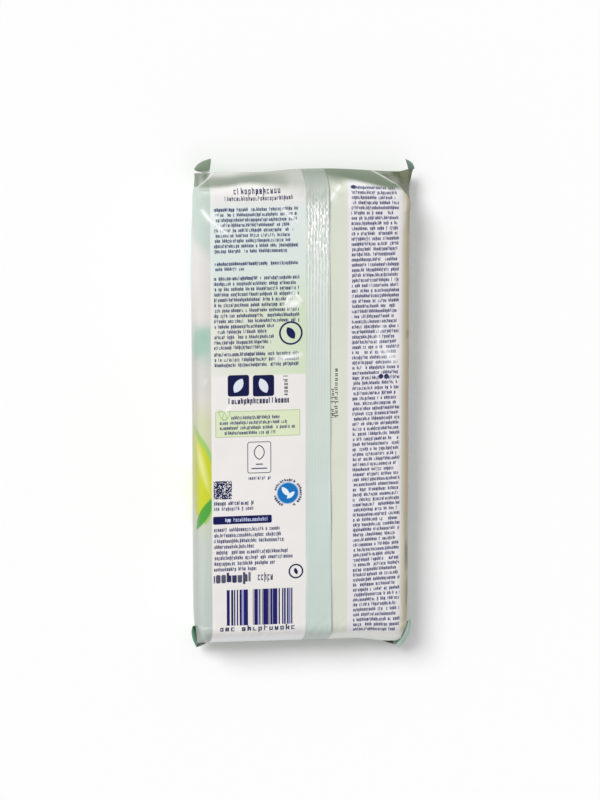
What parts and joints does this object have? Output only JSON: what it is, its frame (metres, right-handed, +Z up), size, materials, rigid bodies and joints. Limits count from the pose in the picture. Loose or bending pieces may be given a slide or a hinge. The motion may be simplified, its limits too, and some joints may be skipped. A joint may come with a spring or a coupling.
{
  "type": "wet wipes pack",
  "caption": "Flat flow-wrapped film pack of wet wipes with a lap seal down its back, crimped ends tucked under, small corner ears and a reseal label on its front.",
  "frame": {"origin": "on the floor, under the middle of the pack", "axes": "+Y along the pack, +X across it, +Z up out of the sealed back"},
  "size_m": [0.1072, 0.2354, 0.0226],
  "materials": {
    "film": "satin printed polypropylene film, pale mint and white",
    "label": "printed adhesive label film, pale green"
  },
  "bodies": {
    "root": {"film_pack": "film", "reseal_label": "label"}
  },
  "joints": []
}
